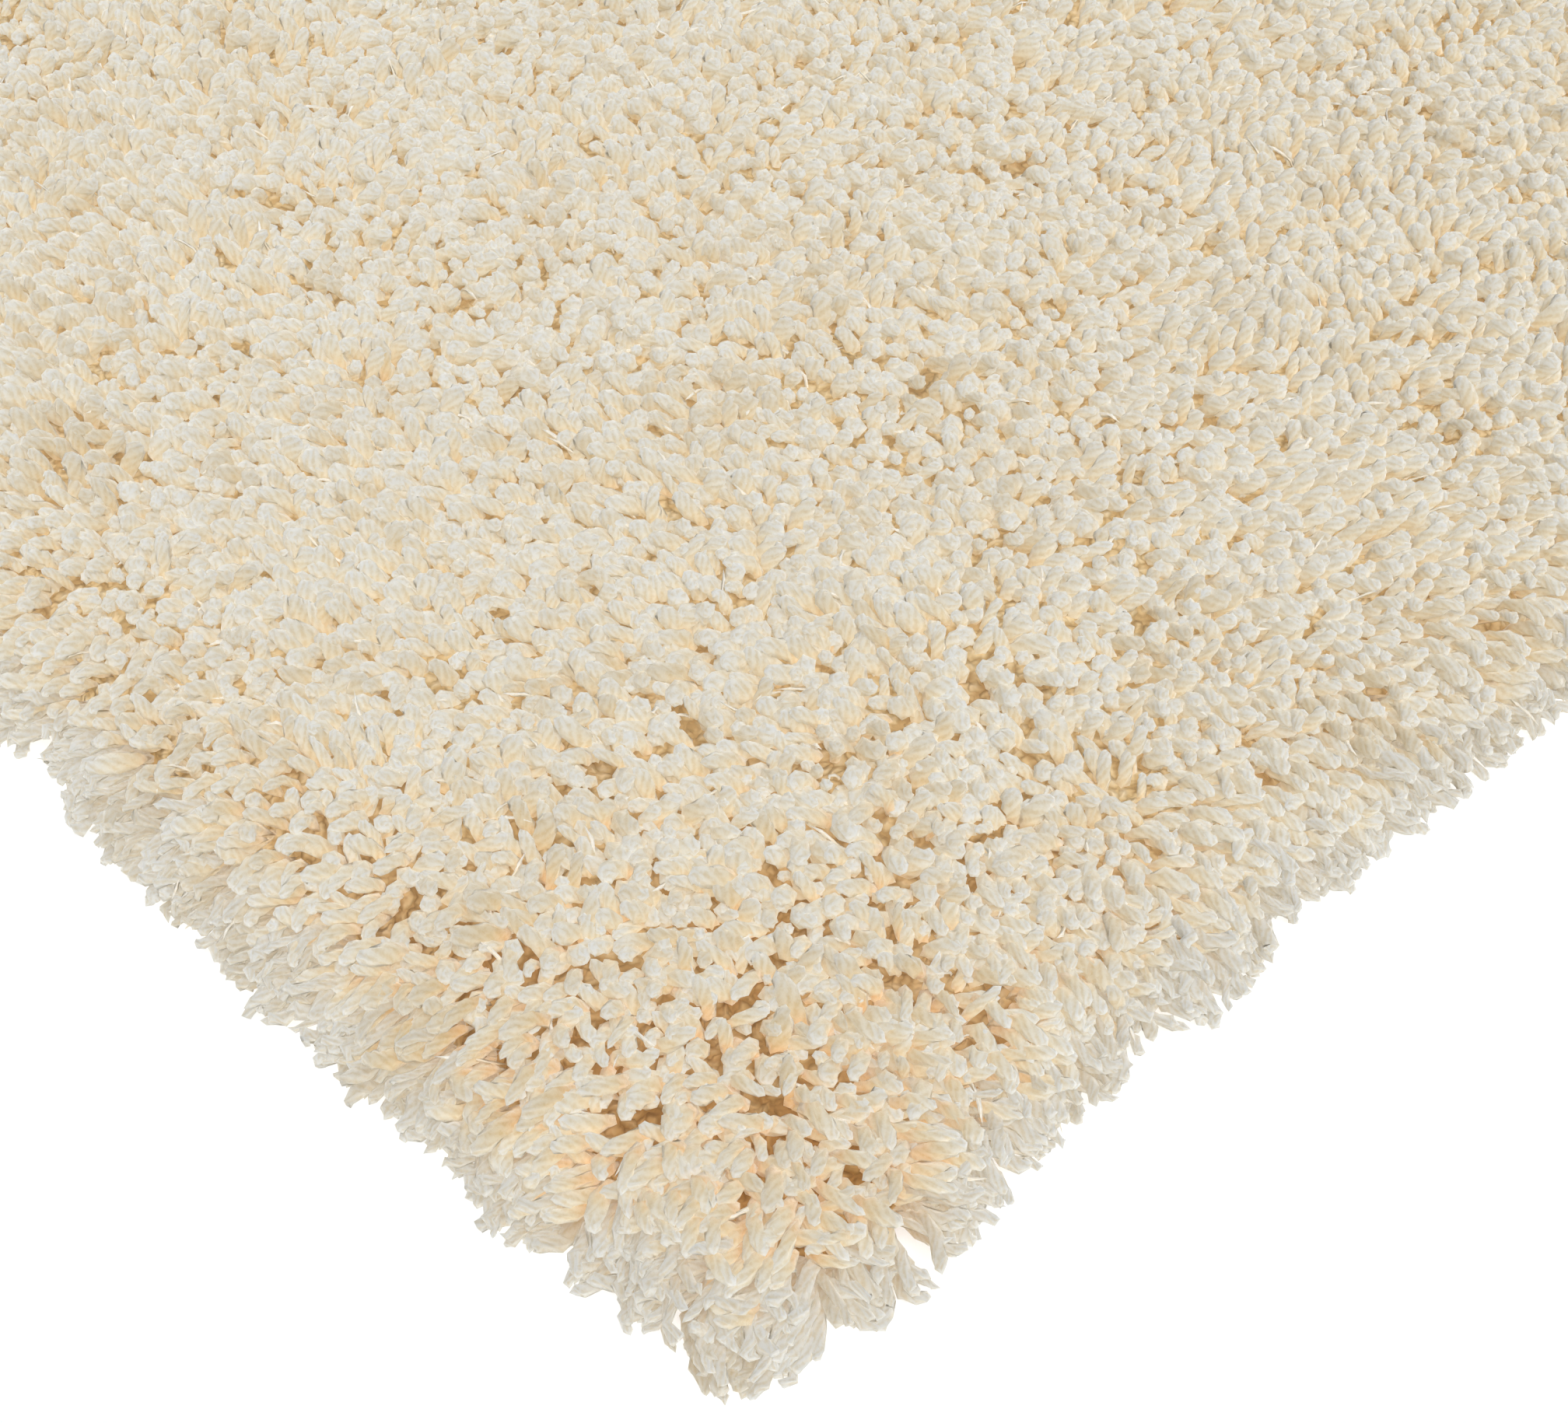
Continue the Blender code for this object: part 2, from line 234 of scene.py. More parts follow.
# ---- tints, from 0, warm and dark, to 1, pale ----
TINT_MEAN = 0.57
TINT_TUFT = 0.24        # how much it differs from tuft to tuft, and from yarn to yarn
TINT_YARN = 0.12
LEAN_SHADE_WAVER = 0.10       # painted shade: how much it drifts over the rug, slowly and in patches, with two of the fields that set the pile's lean
LEAN_SHADE_CURL = 0.09
THREAD_TINT = (0.85, 0.15)  # mean and spread
CORNER_SHADE = 1.00    # painted shade: how much further up the yarns the warm, dark root colour goes at the near corner

# ---- colours: a place from 0 to 1, and the colour there ----
TINTS = ((0.0, (0.91, 0.85, 0.745)), (0.45, (0.98, 0.965, 0.94)), (1.0, (1.0, 1.0, 1.0)))
# painted shade in the grooves between plies and fibres: darker where the relief is low
GROOVE_SHADE = ((0.34, (0.90, 0.82, 0.67)), (0.76, (1.0, 1.0, 1.0)))
# painted shade: darker and warmer toward the root, where the pile's depths lie in shade; the tip's stop
# is the yarn's own cream
YARN_SHADE_STOPS = (
    (0.46, (0.76, 0.55, 0.32)),
    (0.68, (0.73, 0.63, 0.455)),
    (0.86, (0.715, 0.668, 0.568)),
    (1.0, (0.695, 0.688, 0.665)),
)
# painted shade: the rim's yarns are greyer and darker than the field's, as the rim lies in shade, and
# darker toward the root
RIM_SHADE_STOPS = ((0.12, (0.58, 0.47, 0.34)), (0.50, (0.65, 0.595, 0.505)), (1.0, (0.66, 0.65, 0.62)))
# painted shade of the threads: darker and warmer toward the root
THREAD_SHADE_STOPS = ((0.30, (0.74, 0.58, 0.36)), (0.70, (0.84, 0.79, 0.70)), (1.0, (0.87, 0.845, 0.80)))
# painted shade of the pile's depths: golden, and darkest between the packed ends
GROUND_SHADE_STOPS = ((0.15, (0.77, 0.62, 0.40)), (0.42, (0.71, 0.54, 0.30)), (0.66, (0.52, 0.35, 0.16)))
# painted shade of the gaps, strongest at the near corner and in patches
GAP_SHADE_STOPS = ((0.0, (1.0, 1.0, 1.0)), (1.0, (0.60, 0.44, 0.26)))
BACKING_STOPS = ((0.0, (0.50, 0.40, 0.27)), (0.6, (0.74, 0.65, 0.50)))
SHEEN_TINT = (1.0, 0.95, 0.86)

Look = namedtuple("Look", "sheen roughness twist bump plies")
YARN_LOOK = Look(0.70, 0.95, 32, 0.36, 2)
THREAD_LOOK = Look(0.1, 0.35, 40, 0.4, 3)
PLY_STRETCH = 2.4       # how much more often the plies repeat along than round
PLY_SHARE = 0.30        # how strong they are against the fibres
YARN_RELIEF = 0.0012    # the height of the materials' relief
GROUND_RELIEF = 0.004
BACKING_RELIEF = 0.001

# ---- places on the rug ----
Lay = namedtuple("Lay", "x y reach heading lean")
LAYS = (
    Lay(0.44, -0.10, 0.15, 40, 0.45),
    Lay(0.30, 0.02, 0.20, -25, 0.30),
    Lay(0.05, -0.38, 0.20, 215, 0.42),
    Lay(0.24, -0.40, 0.13, 250, 0.35),
    Lay(0.36, -0.36, 0.09, 330, 0.40),
    Lay(0.10, -0.10, 0.25, -60, 0.30),
    Lay(-0.20, 0.20, 0.25, -40, 0.30),
    Lay(0.10, 0.35, 0.22, 60, 0.30),
    Lay(-0.30, -0.30, 0.22, 230, 0.30),
    Lay(-0.30, 0.38, 0.18, 100, 0.35),
)

Growth = namedtuple("Growth", "x y reach extra")
GROWTHS = (
    Growth(0.34, -0.46, 0.11, 0.008),
    Growth(0.14, -0.46, 0.13, 0.008),
)

Notch = namedtuple("Notch", "x y width")
NOTCHES = (
    Notch(0.445, -0.490, 0.007),
    Notch(0.384, -0.490, 0.008),
    Notch(0.060, -0.480, 0.009),
    Notch(-0.170, -0.480, 0.008),
    Notch(0.490, -0.446, 0.006),
    Notch(0.485, -0.164, 0.010),
    Notch(0.490, 0.140, 0.008),
    Notch(0.230, 0.490, 0.009),
    Notch(-0.190, 0.490, 0.009),
    Notch(-0.490, 0.330, 0.008),
    Notch(-0.490, -0.060, 0.009),
)
NOTCH_REACH = 0.030     # how far along the rim a notch pushes the tips aside
NOTCH_FADE = 0.014
NOTCH_DEPTH = 0.045     # how far in from the rim it goes

Spot = namedtuple("Spot", "x y reach")
NEAR_CORNER = Spot(0.42, -0.42, 0.17)


# ---- arithmetic ----

def smooth_step(value):
    """From 0 to 1 with level ends."""
    value = np.clip(value, 0, 1)
    return value * value * (3 - 2 * value)


def unit(vectors):
    """The vectors, each of length 1."""
    return vectors / (np.linalg.norm(vectors, axis=-1, keepdims=True) + 1e-12)


def headings(vectors):
    """Unit vectors and lengths of plane vectors."""
    size = np.hypot(vectors[:, 0], vectors[:, 1]) + 1e-9
    return vectors / size[:, None], size


def leaned(heading, angle):
    """Unit vectors that lean from upright by an angle, each toward its heading."""
    return np.column_stack([heading * np.sin(angle)[:, None], np.cos(angle)])


def nearness(x, y, spot):
    """From 1 at a spot of a table to nothing well beyond its reach."""
    return np.exp(-((x - spot.x) ** 2 + (y - spot.y) ** 2) / spot.reach ** 2)


def near_corner(x, y):
    """How near places are to the near corner, from 0 to 1."""
    return nearness(x, y, NEAR_CORNER)


def point_tree(points):
    """Points as a tree in which neighbours are found."""
    tree = KDTree(len(points))
    for index, point in enumerate(points):
        tree.insert(point, index)
    tree.balance()
    return tree


# ---- the frame's form, sampled ----

def blurred(values, steps):
    """A grid or a row of values, smoothed by passes of (1, 2, 1)."""
    for _ in range(steps):
        for axis in range(values.ndim):
            ends = [(1, 1) if a == axis else (0, 0) for a in range(values.ndim)]
            padded = np.pad(values, ends, "edge")
            low = np.take(padded, range(0, values.shape[axis]), axis)
            high = np.take(padded, range(2, values.shape[axis] + 2), axis)
            values = (low + 2 * values + high) / 4
    return values


class Grid:
    """Values on a square grid over the rug, read between its points."""

    def __init__(self, values, half):
        self.values = values
        self.half = half
        self.cells = values.shape[0] - 1

    def at(self, x, y):
        """The values at places on the rug."""
        size, most = 2 * self.half, self.cells - 1e-6
        u = np.clip((x + self.half) / size * self.cells, 0, most)
        v = np.clip((y + self.half) / size * self.cells, 0, most)
        i, j = u.astype(int), v.astype(int)
        fu, fv = u - i, v - j
        g = self.values
        low = g[i, j] * (1 - fu) + g[i + 1, j] * fu
        high = g[i, j + 1] * (1 - fu) + g[i + 1, j + 1] * fu
        return low * (1 - fv) + high * fv


def noise(spacing):
    """A smooth random field of about -1 to 1 over the rug, with lumps of that spacing."""
    cells = int(math.ceil(2 * NOISE_HALF / spacing)) + 2
    coarse = Grid(rng.uniform(-1, 1, (cells + 1, cells + 1)), NOISE_HALF)
    line = np.linspace(-NOISE_HALF, NOISE_HALF, NOISE_FINER * cells + 1)
    x, y = np.meshgrid(line, line, indexing="ij")
    return Grid(NOISE_GAIN * blurred(coarse.at(x, y), NOISE_BLUR), NOISE_HALF)


def top_heights():
    """The height of the solid's top, with its lumps and hollows; past the shoulder it stays full."""
    line = np.linspace(-HALF, HALF, TOP_CELLS + 1)
    kept = np.flatnonzero(HALF - np.abs(line) > SHOULDER)
    down = Vector((0, 0, -1))
    heights = np.array([
        [SOLID.ray_cast(Vector((x, y, ABOVE)), down)[0].z for y in line[kept]]
        for x in line[kept]
    ])
    margins = (kept[0], TOP_CELLS - kept[-1])
    return Grid(blurred(np.pad(heights, (margins, margins), "edge"), TOP_BLUR), HALF)


def side_reach(axis, sign):
    """How far a side of the solid reaches at places along it, over its notches."""
    aim = Vector((0, 0, 0))
    aim[axis] = -sign
    reach = []
    for place in SIDE_PLACES:
        start = Vector((place, place, SIDE_HEIGHT))
        start[axis] = sign * 2 * HALF
        hit = SOLID.ray_cast(start, aim)[0]
        reach.append(abs(hit[axis]))
    wide = [
        max(reach[max(0, index - SIDE_WINDOW):index + SIDE_WINDOW + 1])
        for index in range(SIDE_COUNT)
    ]
    return blurred(np.array(wide), SIDE_BLUR)


class Outline:
    """The backing's edge and the way out of it, from the solid's sides."""

    def __init__(self):
        self.sides = {
            (axis, sign): side_reach(axis, sign) - BACKING_INSET
            for axis in (0, 1) for sign in (-1, 1)
        }

    def half(self, axis, own, other):
        """How far the backing reaches along an axis, on own's side, at other across it."""
        high = np.interp(other, SIDE_PLACES, self.sides[axis, 1])
        low = np.interp(other, SIDE_PLACES, self.sides[axis, -1])
        return np.where(own > 0, high, low)

    def gaps(self, x, y):
        """How far inside the backing's edge a point is, along x and along y."""
        return self.half(0, x, y) - np.abs(x), self.half(1, y, x) - np.abs(y)

    def inset(self, x, y):
        """How far inside the backing's edge a point is."""
        gx, gy = self.gaps(x, y)
        round_x = np.maximum(BACKING_CORNER - gx, 0)
        round_y = np.maximum(BACKING_CORNER - gy, 0)
        corner = BACKING_CORNER - np.hypot(round_x, round_y)
        return np.where((round_x > 0) & (round_y > 0), corner, np.minimum(gx, gy))

    def outward(self, x, y):
        """The unit direction out over the nearest rim; it fans round a corner."""
        gx, gy = self.gaps(x, y)
        toward_x = np.maximum(FAN_WIDTH - gx, 0)
        toward_y = np.maximum(FAN_WIDTH - gy, 0)
        inside = (toward_x == 0) & (toward_y == 0)
        toward_x = np.where(inside & (gx <= gy), 1.0, toward_x)
        toward_y = np.where(inside & (gx > gy), 1.0, toward_y)
        size = np.hypot(toward_x, toward_y)
        return np.stack([toward_x / size * np.sign(x), toward_y / size * np.sign(y)], 1)


def scattered(pitch, jitter=JITTER):
    """Points on a jittered grid over the rug, every other row shifted by half a pitch."""
    count = int(2 * HALF / pitch)
    i, j = np.meshgrid(np.arange(count + 1), np.arange(count + 1), indexing="ij")
    x = (i - count / 2 + 0.5 * (j % 2)).ravel() * pitch
    y = (j - count / 2).ravel() * pitch
    push = rng.uniform(-jitter, jitter, (2, len(x))) * pitch
    return x + push[0], y + push[1]


class Tufts:
    """Small gatherings of yarns, each with its own lean, height, reach and tint."""

    def __init__(self):
        x, y = scattered(TUFT_PITCH)
        self.count = len(x)
        self.lean = rng.normal(0, TUFT_LEAN, (self.count, 2))
        self.height = rng.normal(0, TUFT_HEIGHT, self.count)
        self.reach = rng.normal(0, TUFT_REACH, self.count)
        self.tint = rng.normal(0, 1, self.count)
        self.tree = point_tree(np.column_stack([x, y, np.zeros(self.count)]))

    def nearest(self, x, y):
        """The tuft that each place on the rug is nearest to."""
        return np.array([self.tree.find((a, b, 0))[1] for a, b in zip(x, y)])


SOLID = BVHTree.FromObject(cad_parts["shag_rug"], bpy.context.evaluated_depsgraph_get())
TOP = top_heights()
OUTLINE = Outline()
WAVER_X, WAVER_Y = noise(WAVER_SPACING), noise(WAVER_SPACING)
CURL_X, CURL_Y = noise(CURL_SPACING), noise(CURL_SPACING)
RAGGED = noise(RAGGED_SPACING)
TUFTS = Tufts()


# ---- where the yarns stand ----

Stand = namedtuple("Stand", "x y inset inner outward corner tuft")


def picked(stand, keep):
    """Some of the yarns that stand there."""
    return Stand(*(values[keep] for values in stand))


def stands(x, y):
    """What yarns rooted at those places follow: the nearest rim, corner and tuft."""
    inset = OUTLINE.inset(x, y)
    corner = np.clip(1 - np.hypot(*OUTLINE.gaps(x, y)) / CORNER_REACH, 0, 1)
    inner = smooth_step(inset / FAN_WIDTH)
    return Stand(x, y, inset, inner, OUTLINE.outward(x, y), corner, TUFTS.nearest(x, y))


def root_pitch(x, y):
    """How far apart the roots are: least at the backing's corners, then along its edge."""
    corner = np.hypot(*OUTLINE.gaps(x, y)) < CORNER_BAND
    edge = OUTLINE.inset(x, y) <= EDGE_BAND
    return np.select([corner, edge], [CORNER_PITCH, EDGE_PITCH], YARN_PITCH)


def yarn_roots():
    """Roots all over the backing, closer together along its edge and closest at its corners."""
    places = []
    for pitch in (YARN_PITCH, EDGE_PITCH, CORNER_PITCH):
        x, y = scattered(pitch)
        keep = (OUTLINE.inset(x, y) > 0) & (root_pitch(x, y) == pitch)
        places.append((x[keep], y[keep]))
    return np.hstack(places)


# ---- how the yarns lean and bend ----

def lay_field(x, y):
    """How the whole pile leans, as brushed and trodden: the table's lays over a slow waver."""
    lean = np.stack([WAVER_X.at(x, y), WAVER_Y.at(x, y)], 1) * WAVER_LAY
    lean += np.stack([CURL_X.at(x, y), CURL_Y.at(x, y)], 1) * CURL_LAY
    for row in LAYS:
        heading = math.radians(row.heading)
        way = np.array([math.cos(heading), math.sin(heading)])
        lean += nearness(x, y, row)[:, None] * row.lean * way
    heading, size = headings(lean)
    return heading * YARN_LEAN * np.tanh(size / LAY_SIZE)[:, None]


def parting(x, y):
    """Uphill, so that the pile leans away from the middle of a hollow."""
    step = PARTING_STEP
    slope_x = (TOP.at(x + step, y) - TOP.at(x - step, y)) / (2 * step)
    slope_y = (TOP.at(x, y + step) - TOP.at(x, y - step)) / (2 * step)
    return np.stack([slope_x, slope_y], 1)


def rim_lean(inset):
    """How far from upright the pile fans out, by its distance from the backing's edge."""
    return FAN_LEAN * np.clip(1 - inset / FAN_WIDTH, 0, 1) ** FAN_POWER


def leaning(stand, fan, brushed, wild):
    """Which way each yarn leans, and how far from upright."""
    x, y = stand.x, stand.y
    share = brushed * (FAN_LAY + (1 - FAN_LAY) * stand.inner)
    lean = stand.outward * fan[:, None]
    lean += (lay_field(x, y) + PARTING * parting(x, y)) * share[:, None]
    own = TUFTS.lean[stand.tuft] * (1 + CORNER_LEAN * near_corner(x, y))[:, None]
    lean += own + rng.normal(0, wild, (len(x), 2))
    heading, size = headings(lean)
    return heading, np.minimum(size, MOST_LEAN)


def yarn_lengths(stand, reaching, length):
    """How long each yarn is: in the field as the pile's top needs, at the rim as given."""
    outer = 1 - stand.inner
    long = (stand.inner * reaching + outer * length) * rng.normal(1, LENGTH_SPREAD, len(reaching))
    long *= 1 + CORNER_GROWTH * stand.corner + outer * RIM_RAGGED * RAGGED.at(stand.x, stand.y)
    long += outer * sum(row.extra * nearness(stand.x, stand.y, row) for row in GROWTHS)
    return long * (1 + outer * TUFTS.reach[stand.tuft])


def notch_push(x, y):
    """Sideways, away from the middle of the rim's notches."""
    push = np.zeros((len(x), 2))
    for row in NOTCHES:
        axis = 1 if abs(row.x) > abs(row.y) else 0
        place = (x, y)[axis] - (row.x, row.y)[axis]
        depth = np.abs((x, y)[1 - axis] - (row.x, row.y)[1 - axis])
        near = (np.abs(place) < NOTCH_REACH) & (depth < NOTCH_DEPTH)
        aside = row.width * np.exp(-np.abs(place) / NOTCH_FADE) * (1 - depth / NOTCH_DEPTH)
        push[:, axis] += np.where(near, np.sign(place) * aside, 0)
    return push


def lolling(stand, fan, heading, loll):
    """Which way each yarn's end lies: over on its side, but outward at the rim's foot."""
    count = len(fan)
    facing = leaned(stand.outward, fan)
    x, y = headings(heading + rng.normal(0, HEADING_SPREAD, (count, 2)))[0].T
    turn = rng.normal(0, loll, count)
    cos, sin = np.cos(turn), np.sin(turn)
    aside = np.stack([x * cos - y * sin, x * sin + y * cos, np.zeros(count)], 1)
    aside = unit(aside - np.sum(aside * facing, 1, keepdims=True) * facing)
    over = np.clip(rng.normal(OVER_ANGLE, OVER_SPREAD, count), *OVER_RANGE)
    over *= OVER_RIM + OVER_FIELD * smooth_step(stand.inset / OVER_BAND)
    return facing * np.cos(over)[:, None] + aside * np.sin(over)[:, None]


def yarn_ends(stand, fan, heading, loll):
    """From each yarn's neck to its tip."""
    long = NECK * np.clip(rng.normal(1, NECK_SPREAD, (len(fan), 1)), *NECK_RANGE)
    long = long * (1 + NECK_CORNER * near_corner(stand.x, stand.y))[:, None]
    return long * lolling(stand, fan, heading, loll)


def yarn_ways(stand, length, brushed, wild, loll):
    """Each yarn's root, the knee of its bend, the way from its neck to its tip, and its tip."""
    fan = rim_lean(stand.inset)
    heading, size = leaning(stand, fan, brushed, wild)
    lower = LOWER_LEAN * size
    upper = UPPER_LEAN * size + FOOT_LEAN * np.clip(1 - stand.inset / FOOT_BAND, 0, 1)
    top = TOP.at(stand.x, stand.y) + TUFTS.height[stand.tuft]
    rise = np.maximum(LOWER_SHARE * np.cos(lower) + UPPER_SHARE * np.cos(upper), LEAST_RISE)
    long = yarn_lengths(stand, np.minimum(top / rise, LONGEST * length), length)[:, None]
    root = np.stack([stand.x, stand.y, np.full(len(top), ROOT_HEIGHT)], 1)
    low, high = leaned(heading, lower), leaned(heading, upper)
    tip = root + LOWER_SHARE * long * low + UPPER_SHARE * long * high
    tip[:, :2] += notch_push(tip[:, 0], tip[:, 1])
    over = tip[:, 2] - (top + OVER_TOP)
    tip[:, 2] -= OVER_CUT * np.maximum(over, 0)
    return root, root + KNEE_PLACE * long * low, yarn_ends(stand, fan, heading, loll), tip


def bends(root, knee, end, tip):
    """The four points of each yarn's bend: its root, its knee, its neck and its tip."""
    knee = knee + rng.normal(0, KNEE_WAVER, knee.shape)
    return np.stack([root, knee, tip - end, tip])


def bent(way, shares):
    """Points along each yarn's bend at the given shares of its way."""
    t = np.asarray(shares)[None, :, None]
    a, b, c, d = (point[:, None, :] for point in way)
    u = 1 - t
    return u ** 3 * a + 3 * u * u * t * b + 3 * u * t * t * c + t ** 3 * d


# ---- how the ends share the room ----

def tip_spacing(stand):
    """The least distance between ends: less on the right and at the near corner, in patches."""
    x, y = stand.x, stand.y
    corner = near_corner(x, y)
    right = SIDE_MIDDLE + (1 - SIDE_MIDDLE) * np.tanh((x + y) / SIDE_SWITCH)
    side = SIDE_CLOSER * right * smooth_step(1 - stand.inset / SIDE_BAND)
    patch = PATCH_LOOSER * CURL_Y.at(x, y) * (PATCH_FIELD + corner)
    spacing = TIP_SPACING * (1 - CORNER_CLOSER * corner - side + patch)
    return np.where(stand.inset < RIM_BAND, RIM_SPACING, spacing)


def thinned(places, spacing):
    """The yarns to keep, so that none lies closer than its spacing; the first half goes first."""
    kept, cells = [], {}
    half = len(places) // 2
    cell = spacing.max()
    for index in (*rng.permutation(half), *rng.permutation(range(half, len(places)))):
        place = places[index]
        i, j, k = (int(v) for v in np.floor(place / cell))
        around = [
            other
            for a in (i - 1, i, i + 1) for b in (j - 1, j, j + 1) for c in (k - 1, k, k + 1)
            for other in cells.get((a, b, c), ())
        ]
        if all(np.dot(place - places[o], place - places[o]) > spacing[index] ** 2 for o in around):
            kept.append(index)
            cells.setdefault((i, j, k), []).append(index)
    return np.array(sorted(kept))


def pressed_apart(tips, spacing):
    """The tips once they have pressed each other to an even spacing, mostly sideways."""
    moved = tips.copy()
    for _ in range(PRESS_PASSES):
        around = point_tree(moved)
        push = np.zeros_like(moved)
        for index, place in enumerate(moved):
            for near, other, distance in around.find_range(place, spacing):
                if other > index:
                    apart = (place - np.array(near)) / (distance + 1e-5)
                    step = PRESS_STEP * (spacing - distance) * apart
                    push[index] += step
                    push[other] -= step
        push[:, 2] *= PRESS_RISE
        size = np.linalg.norm(push, axis=1, keepdims=True)
        moved += push * np.minimum(1, PRESS_MOST / (size + 1e-9))
    return moved


def gathered(tip, stand):
    """How far the rim's tips are drawn together along it, tuft by tuft, into locks."""
    rim = np.clip(1 - stand.inset / LOCK_BAND, 0, 1) * (1 - LOCK_CORNER * stand.corner)
    weight = np.bincount(stand.tuft, rim, TUFTS.count) + 1e-9
    sums = [np.bincount(stand.tuft, rim * tip[:, axis], TUFTS.count) for axis in (0, 1)]
    middle = np.column_stack([sums[0] / weight, sums[1] / weight])
    toward = middle[stand.tuft] - tip[:, :2]
    toward -= np.sum(toward * stand.outward, 1, keepdims=True) * stand.outward
    pull = LOCK_PULL * np.sqrt(rim)[:, None] * toward
    return np.column_stack([pull, np.zeros(len(tip))])


def spaced(stand, way):
    """The yarns whose ends have room, pressed to an even spacing, with the rim's in locks."""
    end, tip = way[2:]
    middle = tip - NECK_MIDDLE * end
    keep = thinned(middle, tip_spacing(stand))
    stand = picked(stand, keep)
    root, knee, end, tip, middle = (values[keep] for values in (*way, middle))
    tip += pressed_apart(middle, PRESSED_SPACING) - middle
    tip += gathered(tip, stand)
    return stand, (root, knee, end, tip)


# ---- tubes ----

def keep_above_floor(points, radii):
    """Lift what would lie under the floor onto it."""
    ends = radii[:, [0, -1]] * END_THICKNESS
    thick = np.column_stack([ends[:, 0], radii, ends[:, 1]])
    points[:, :, 2] = np.maximum(points[:, :, 2], thick + FLOOR_GAP)
    return points


def keep_inside(points):
    """Hold the yarns near the rug's box, which they may pass only a little."""
    limit = HALF + BOX_SPARE
    points[:, :, :2] = np.clip(points[:, :, :2], -limit, limit)
    return points


def carried_frames(along):
    """Two directions across each way at each of its points, carried along it without a twist."""
    current = np.eye(3)[np.argmin(np.abs(along[:, 0]), axis=1)]
    across = []
    for k in range(along.shape[1]):
        current = current - np.sum(current * along[:, k], axis=1, keepdims=True) * along[:, k]
        current = unit(current)
        across.append(current)
    across = np.stack(across, 1)
    return across, np.cross(along, across)


def tube_points(points, radii, sides):
    """The rings' points: slightly flattened sections that turn along the yarn, as its plies do."""
    across, beside = carried_frames(unit(points[:, 2:] - points[:, :-2]))
    count, rings = radii.shape
    angles = np.arange(sides) * 2 * math.pi / sides
    turn = rng.uniform(0, 2 * math.pi, (count, 1)) + PLY_TURN * np.arange(rings)
    u = np.cos(angles) * (radii * (1 + YARN_FLAT))[:, :, None]
    v = np.sin(angles) * (radii * (1 - YARN_FLAT))[:, :, None]
    cos, sin = np.cos(turn)[:, :, None], np.sin(turn)[:, :, None]
    p, q = u * cos - v * sin, u * sin + v * cos
    centre = points[:, 1:-1, None, :]
    return centre + p[..., None] * across[:, :, None, :] + q[..., None] * beside[:, :, None, :]


def tube_faces(rings, sides):
    """One tube's faces by its own point numbers: the root, the rings' points, the tip."""
    def ring(k, j):
        return 1 + k * sides + j % sides

    tip = 1 + rings * sides
    faces = [(ring(0, j + 1), ring(0, j), 0) for j in range(sides)]
    for k in range(rings - 1):
        for j in range(sides):
            faces.append((ring(k, j), ring(k, j + 1), ring(k + 1, j + 1), ring(k + 1, j)))
    return faces + [(ring(rings - 1, j), ring(rings - 1, j + 1), tip) for j in range(sides)]


def tube_corners(rings, sides, shares):
    """Where each face's corners lie round and along the tube, from 0 to 1, in the faces' order."""
    turns = [(j / sides, (j + 1) / sides) for j in range(sides)]
    corners = []
    for a, b in turns:
        corners += [(b, shares[1]), (a, shares[1]), ((a + b) / 2, shares[0])]
    for low, high in zip(shares[1:rings], shares[2:]):
        for a, b in turns:
            corners += [(a, low), (b, low), (b, high), (a, high)]
    for a, b in turns:
        corners += [(a, shares[rings]), (b, shares[rings]), ((a + b) / 2, shares[-1])]
    return np.array(corners)


def joined_tubes(name, vertices, faces):
    """One mesh of many tubes that all have the same faces."""
    count, per = vertices.shape[:2]
    corners = np.concatenate([np.array(face) for face in faces])
    loops = (corners + per * np.arange(count)[:, None]).ravel()
    sizes = np.tile([len(face) for face in faces], count)
    starts = np.concatenate([[0], np.cumsum(sizes)[:-1]])
    mesh = bpy.data.meshes.new(name)
    mesh.vertices.add(per * count)
    mesh.vertices.foreach_set("co", vertices.astype(np.float32).ravel())
    mesh.loops.add(len(loops))
    mesh.loops.foreach_set("vertex_index", loops.astype(np.int32))
    mesh.polygons.add(len(starts))
    mesh.polygons.foreach_set("loop_start", starts.astype(np.int32))
    mesh.update(calc_edges=True)
    mesh.shade_smooth()
    return mesh


def add_map(mesh, name, places):
    """A texture map, with a place for each corner of each face."""
    layer = mesh.uv_layers.new(name=name)
    layer.data.foreach_set("uv", places.astype(np.float32).ravel())


def add_values(mesh, name, values):
    """A number for each point of a mesh, which a material may read."""
    layer = mesh.attributes.new(name, "FLOAT", "POINT")
    layer.data.foreach_set("value", values.astype(np.float32))


def placed(name, data):
    """An object of that data, in the scene."""
    made = bpy.data.objects.new(name, data)
    bpy.context.scene.collection.objects.link(made)
    return made


def faced(name, points, faces, material):
    """An object of those points and faces."""
    mesh = bpy.data.meshes.new(name)
    mesh.from_pydata(points, [], faces)
    mesh.materials.append(material)
    return placed(name, mesh)


def wall(count):
    """The faces between a ring of points and the ring above it, which comes after it."""
    return [(k, (k + 1) % count, count + (k + 1) % count, count + k) for k in range(count)]


